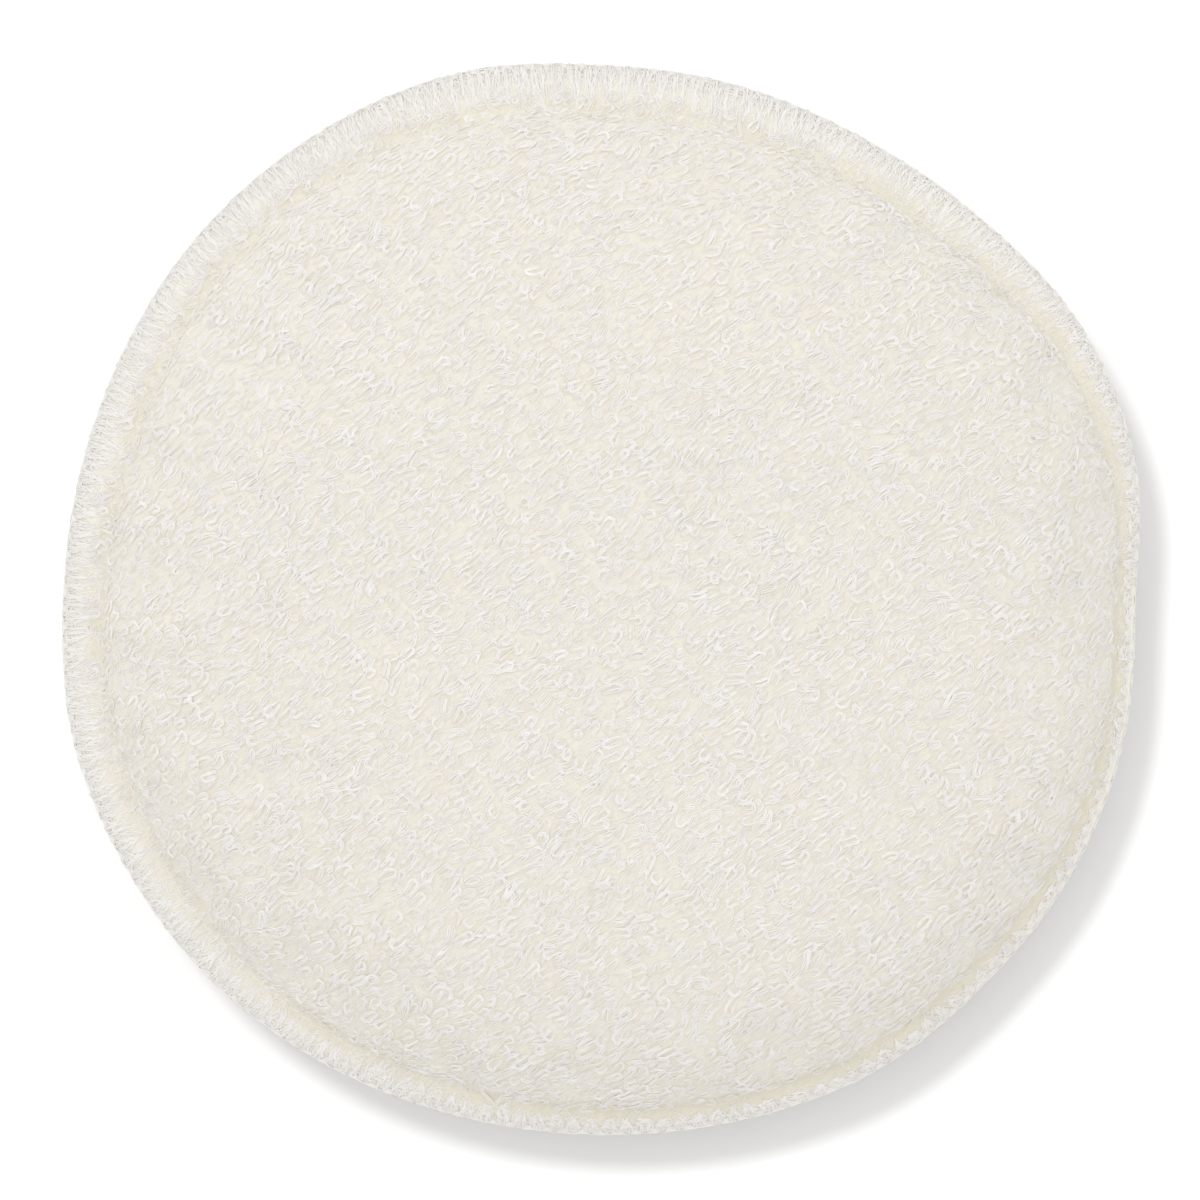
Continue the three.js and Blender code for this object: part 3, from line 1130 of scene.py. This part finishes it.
class Finish:
    """A new material's nodes, with a matte shader to build on."""

    def __init__(self, name, roughness, sheen):
        self.material = bpy.data.materials.new(name)
        self.material.use_nodes = True
        self.nodes = self.material.node_tree.nodes
        self.shader = self.nodes["Principled BSDF"]
        self.shader.inputs["Roughness"].default_value = roughness
        self.shader.inputs["Specular IOR Level"].default_value = 0.15
        self.shader.inputs["Sheen Weight"].default_value = sheen
        self.shader.inputs["Sheen Roughness"].default_value = 0.5

    def join(self, source, target):
        """Leads one socket into another."""
        self.material.node_tree.links.new(source, target)

    def add(self, kind, **settings):
        """A new node with some of its settings made."""
        node = self.nodes.new(kind)
        for name, value in settings.items():
            setattr(node, name, value)
        return node

    def math(self, operation, first, second=None):
        """A number worked out from sockets or plain numbers."""
        node = self.add("ShaderNodeMath", operation=operation)
        for socket, value in zip(node.inputs, (first, second)):
            if isinstance(value, bpy.types.NodeSocket):
                self.join(value, socket)
            elif value is not None:
                socket.default_value = value
        return node.outputs[0]

    def mix(self, share, first, second, blend="MIX"):
        """A colour between two, which may be sockets or plain colours."""
        node = self.add("ShaderNodeMix", data_type="RGBA", blend_type=blend)
        for socket, value in zip((node.inputs[0], node.inputs[6], node.inputs[7]), (share, first, second)):
            if isinstance(value, bpy.types.NodeSocket):
                self.join(value, socket)
            elif isinstance(value, float):
                socket.default_value = value
            else:
                socket.default_value = (*value, 1)
        return node.outputs[2]

    def grey(self, number):
        """A number as a grey colour."""
        node = self.add("ShaderNodeCombineColor")
        for socket in node.inputs[:3]:
            self.join(number, socket)
        return node.outputs[0]

    def shaded(self, colour, number, least, most):
        """A colour times a share between least and most, which a number from 0 to 1 picks."""
        share = self.math("ADD", self.math("MULTIPLY", number, most - least), least)
        return self.mix(1.0, colour, self.grey(share), "MULTIPLY")

    def patches(self, place, scale, detail=3.0):
        """Soft random patches from 0 to 1."""
        node = self.add("ShaderNodeTexNoise")
        node.inputs["Scale"].default_value = scale
        node.inputs["Detail"].default_value = detail
        self.join(place, node.inputs["Vector"])
        return node.outputs["Fac"]

    def bump(self, height, depth):
        """Lets the light see a height from 0 to 1 as a relief of some depth."""
        node = self.add("ShaderNodeBump")
        node.inputs["Strength"].default_value = 1.0
        node.inputs["Distance"].default_value = depth
        self.join(height, node.inputs["Height"])
        self.join(node.outputs[0], self.shader.inputs["Normal"])

    def colour(self, socket):
        """Gives the surface its colour."""
        self.join(socket, self.shader.inputs["Base Color"])


# Stretch of the way up a loop over which its colour turns from the root's to the tip's: the pile's painted
# shade fades out there, and the sewing thread's painted shade at the cut edge comes in
TIP_COLOUR = (0.1, 0.7)
# Fibres of a yarn: how many along a loop and across a strand, and how deep they lie
YARN_FIBRES = (3.0, 7.0)
YARN_RELIEF = 0.008 * MM


def yarn_finish(name, root, tip, sheen):
    """Soft spun yarn: warm near the ground with painted shade and pale at the head of each loop, with fine
    fibres along it. On the sewing thread the head lies at the cut edge and carries painted shade.
    """
    finish = Finish(name, roughness=0.9, sheen=sheen)
    place = finish.add("ShaderNodeUVMap", uv_map=YARN_MAP).outputs[0]
    parts = finish.add("ShaderNodeSeparateXYZ")
    finish.join(place, parts.inputs[0])
    along, strip = parts.outputs[0], parts.outputs[1]
    middle = finish.math("ABSOLUTE", finish.math("SUBTRACT", along, 0.5))
    up_the_loop = finish.math("SUBTRACT", 1.0, finish.math("MULTIPLY", middle, 2.0))
    head = finish.add("ShaderNodeMapRange", interpolation_type="SMOOTHSTEP")
    head.inputs["From Min"].default_value = TIP_COLOUR[0]
    head.inputs["From Max"].default_value = TIP_COLOUR[1]
    finish.join(up_the_loop, head.inputs["Value"])
    colour = finish.mix(head.outputs[0], root, tip)
    strips = finish.math("MULTIPLY", strip, float(TINT_STRIPS))
    number = finish.add("ShaderNodeTexWhiteNoise", noise_dimensions="1D")
    finish.join(finish.math("FLOOR", strips), number.inputs["W"])
    colour = finish.shaded(colour, number.outputs["Value"], least=0.97, most=1.0)
    stretched = finish.add("ShaderNodeCombineXYZ")
    for way, fibre_count, socket in zip((along, strips), YARN_FIBRES, stretched.inputs):
        finish.join(finish.math("MULTIPLY", way, fibre_count), socket)
    fibres = finish.patches(stretched.outputs[0], scale=1.0)
    finish.colour(finish.shaded(colour, fibres, least=0.975, most=1.015))
    finish.bump(fibres, YARN_RELIEF)
    return finish.material


# Fibres of the ground cloth: along the nap, across it and in its depth, and how deep they lie
FIBRE_SIZE = (0.9 * MM, 0.2 * MM, 0.5 * MM)
FIBRE_DEPTH = 0.15 * MM
# Its warm patches and the blotches of painted shade in its groove: how many go to a metre, and how warm they
# are
PATCH_SCALE = 180.0
PATCH_WARMTH = 0.3
BLOTCH_SCALE = 500.0
BLOTCH_SHADE = 0.3


def ground_finish(cover, pile):
    """Ground cloth: fine fibres brushed along the nap, with soft patches of a warmer tone and blotchy painted
    shade in the seam's groove.
    """
    finish = Finish("terry_ground", roughness=0.95, sheen=0.1)
    place = finish.add("ShaderNodeTexCoord").outputs["Object"]
    groove = finish.add("ShaderNodeAttribute", attribute_name="groove").outputs["Fac"]
    patches = finish.math("MULTIPLY", finish.patches(place, PATCH_SCALE), PATCH_WARMTH)
    blotches = finish.math("ADD", finish.patches(place, BLOTCH_SCALE), BLOTCH_SHADE)
    # Painted shade in the groove, mottled by blotches, added to the warm patches
    warm = finish.math("ADD", finish.math("MULTIPLY", groove, blotches), patches)
    colour = finish.mix(warm, tuple(cover.ground_colour), tuple(cover.groove_shade_and_patch_colour))
    flange = finish.add("ShaderNodeAttribute", attribute_name="flange").outputs["Fac"]
    colour = finish.mix(flange, colour, tuple(cover.flange_colour))
    brushed = finish.add("ShaderNodeMapping", vector_type="TEXTURE")
    brushed.inputs["Rotation"].default_value = (0, 0, pile.slant)
    brushed.inputs["Scale"].default_value = FIBRE_SIZE
    finish.join(place, brushed.inputs["Vector"])
    fibres = finish.patches(brushed.outputs[0], scale=1.0, detail=2.0)
    finish.colour(finish.shaded(colour, fibres, least=0.89, most=1.09))
    finish.bump(fibres, FIBRE_DEPTH)
    return finish.material


# Pores of the foam: how many go to a metre, how dark their middles are with painted shade, how wide they are
# open and how deep
PORE_SCALE = 900.0
PORE_SHADE = 0.6
PORE_OPEN = 1.3
PORE_DEPTH = 0.3 * MM


def foam_finish(core):
    """Open-celled foam: small pores darkened with painted shade in their hollows, in a pale cream body."""
    finish = Finish("soft_foam", roughness=0.9, sheen=0.0)
    place = finish.add("ShaderNodeTexCoord").outputs["Object"]
    pores = finish.add("ShaderNodeTexVoronoi", feature="F1")
    pores.inputs["Scale"].default_value = PORE_SCALE
    finish.join(place, pores.inputs["Vector"])
    hollow = finish.math("MULTIPLY", pores.outputs["Distance"], PORE_OPEN)
    # Painted shade in the hollows of the pores
    dark = tuple(PORE_SHADE * value for value in core.colour)
    finish.colour(finish.mix(hollow, dark, tuple(core.colour)))
    finish.bump(hollow, PORE_DEPTH)
    return finish.material


def floor_finish(stage):
    """Plain pale paper, with a faint grain."""
    finish = Finish("studio_paper", roughness=1.0, sheen=0.0)
    place = finish.add("ShaderNodeTexCoord").outputs["Object"]
    grain = finish.patches(place, scale=900.0)
    ray = finish.add("ShaderNodeLightPath").outputs
    seen = finish.math("MAXIMUM", ray["Is Camera Ray"], ray["Is Glossy Ray"])
    seen = finish.math("MAXIMUM", seen, ray["Is Transmission Ray"])
    colour = finish.mix(seen, tuple(stage.bounce_colour), tuple(stage.floor_colour))
    finish.colour(finish.shaded(colour, grain, least=0.995, most=1.005))
    return finish.material


# Operators

class SPONGE_OT_covers(bpy.types.Operator):
    """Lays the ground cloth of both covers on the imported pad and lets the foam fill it"""

    bl_idname = "sponge.covers"
    bl_label = "Covers"

    def execute(self, context):
        cover = context.scene.sponge_cover
        rim = Rim(cover)
        material = ground_finish(cover, context.scene.sponge_pile)
        skins = [cover_skin(cover, rim, name, side, material) for name, side in SIDES.items()]
        for skin in skins:
            fill_with_foam(skin, cover)
        settle(skins, cover)
        for name, skin in zip(SIDES, skins):
            finish_skin(skin, cover)
            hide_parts(f"{name}_cover")
        return {"FINISHED"}


class SPONGE_OT_pile(bpy.types.Operator):
    """Grows the looped pile of both covers from their ground cloth"""

    bl_idname = "sponge.pile"
    bl_label = "Pile"

    # Pieces that the pile of each face is split into, plies of its yarn, and what their seed adds to its own
    bands = {"front": 6, "back": 3}
    plies = {"front": 5, "back": 2}
    ply_seed = 40

    def execute(self, context):
        cover = context.scene.sponge_cover
        pile = context.scene.sponge_pile
        material = yarn_finish("terry_yarn", tuple(pile.shaded_root_colour), tuple(pile.tip_colour), sheen=0.05)
        for name, side in SIDES.items():
            rng = np.random.default_rng(pile.seed + self.ply_seed + side)
            cloth = FlatCloth(bpy.data.objects[f"{name}_ground_cloth"], cover)
            rows = loop_rows(cloth, cover, pile, side)
            for number, band in enumerate(pile_bands(rows, self.bands[name]), start=1):
                piece = pile_band(f"{name}_pile_{number}", band, pile, self.plies[name], material, rng)
        return {"FINISHED"}


class SPONGE_OT_overlock(bpy.types.Operator):
    """Sews the overlocked seam round the rim with its three threads"""

    bl_idname = "sponge.overlock"
    bl_label = "Overlocked Seam"

    def execute(self, context):
        seam = context.scene.sponge_seam
        rim = Rim(context.scene.sponge_cover)
        rng = np.random.default_rng(seam.seed)
        material = yarn_finish("sewing_thread", tuple(seam.thread_colour), tuple(seam.edge_shade_colour), sheen=0.1)
        threads = {
            "upper_looper": (looper_paths(rim, seam, UP, rng), UP, LOOPER_STOPS),
            "lower_looper": (looper_paths(rim, seam, DOWN, rng), DOWN, LOOPER_STOPS),
            "needle": (needle_paths(rim, seam, rng), UP, NEEDLE_STOPS),
        }
        for name, (paths, side, stops) in threads.items():
            piece = thread_piece(f"{name}_strands", paths, side, stops, seam, material, rng)
            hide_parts(f"{name}_thread")
        return {"FINISHED"}


class SPONGE_OT_core(bpy.types.Operator):
    """Makes the foam pad inside the covers"""

    bl_idname = "sponge.core"
    bl_label = "Foam Core"

    def execute(self, context):
        core = context.scene.sponge_core
        piece = shown("foam_pad", foam_mesh(core), foam_finish(core))
        subdivide(piece, "Soft Foam")
        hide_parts("foam_core")
        return {"FINISHED"}


class SPONGE_OT_stage(bpy.types.Operator):
    """Sets up the floor, the light and the camera over the pad"""

    bl_idname = "sponge.stage"
    bl_label = "Stage"

    floor_reach = 3.0

    def execute(self, context):
        stage = context.scene.sponge_stage
        floor = self.make_floor(context, stage)
        self.make_light(context, stage, floor)
        self.make_camera(context, stage)
        context.scene.view_settings.view_transform = "Standard"
        # White pile passes light from strand to strand many times
        context.scene.cycles.diffuse_bounces = 12
        return {"FINISHED"}

    def make_floor(self, context, stage):
        """A wide sheet of paper under the pad."""
        paper = bmesh.new()
        bmesh.ops.create_grid(paper, x_segments=1, y_segments=1, size=self.floor_reach)
        mesh = mesh_of("floor", paper)
        mesh.materials.append(floor_finish(stage))
        floor = bpy.data.objects.new("floor", mesh)
        context.collection.objects.link(floor)
        return floor

    def make_lamp(self, context, name, level, lean, turn, size):
        """A far lamp that gives a level of light to a flat surface."""
        lamp = bpy.data.lights.new(name, "SUN")
        lamp.energy = level * math.pi / math.cos(lean)
        lamp.angle = size
        holder = bpy.data.objects.new(name, lamp)
        holder.rotation_euler = (0, lean, turn)
        context.collection.objects.link(holder)
        return holder

    def make_light(self, context, stage, floor):
        """A white room with a bright side, and a key lamp that gives the floor the pad's shadow."""
        world = bpy.data.worlds.new("soft_room")
        world.use_nodes = True
        room = world.node_tree.nodes["Background"]
        room.inputs["Color"].default_value = (1, 1, 1, 1)
        room.inputs["Strength"].default_value = 1 - stage.soft_share
        context.scene.world = world
        self.make_lamp(
            context, "soft_lamp", stage.soft_share, stage.soft_lean, stage.soft_turn, stage.soft_size)
        key = self.make_lamp(
            context, "key_lamp", stage.key_level, stage.key_lean, stage.key_turn, stage.key_size)
        lit = bpy.data.collections.new("lit_by_key")
        lit.objects.link(floor)
        key.light_linking.receiver_collection = lit

    def make_camera(self, context, stage):
        """A camera straight above the pad, with the seam filling the view's width as set."""
        lens = bpy.data.cameras.new("camera")
        lens.lens = lens.sensor_width * stage.view_distance / stage.view_width
        camera = bpy.data.objects.new("camera", lens)
        seam = Rim(context.scene.sponge_cover).seam
        camera.location = (0, 0, seam + stage.view_distance)
        context.collection.objects.link(camera)
        context.scene.camera = camera


class SPONGE_PT_panel(bpy.types.Panel):
    """Lists the steps that make the sponge"""

    bl_idname = "SPONGE_PT_panel"
    bl_label = "Body Sponge"
    bl_space_type = "VIEW_3D"
    bl_region_type = "UI"
    bl_category = "Sponge"

    def draw(self, context):
        for step in STEPS:
            self.layout.operator(step.bl_idname)


SETTINGS = {
    "sponge_cover": CoverSettings,
    "sponge_pile": PileSettings,
    "sponge_seam": SeamSettings,
    "sponge_core": CoreSettings,
    "sponge_stage": StageSettings,
}
STEPS = (SPONGE_OT_covers, SPONGE_OT_pile, SPONGE_OT_overlock, SPONGE_OT_core, SPONGE_OT_stage)
CLASSES = (*SETTINGS.values(), *STEPS, SPONGE_PT_panel)


def register():
    """Makes the settings, steps and panel known."""
    for each in CLASSES:
        bpy.utils.register_class(each)
    for name, settings in SETTINGS.items():
        setattr(bpy.types.Scene, name, PointerProperty(type=settings))


def unregister():
    """Takes them out again."""
    for name in SETTINGS:
        delattr(bpy.types.Scene, name)
    for each in reversed(CLASSES):
        bpy.utils.unregister_class(each)


def main():
    """Makes the sponge on its stage."""
    register()
    bpy.ops.sponge.covers()
    bpy.ops.sponge.pile()
    bpy.ops.sponge.overlock()
    bpy.ops.sponge.core()
    bpy.ops.sponge.stage()


if __name__ == "__main__":
    main()
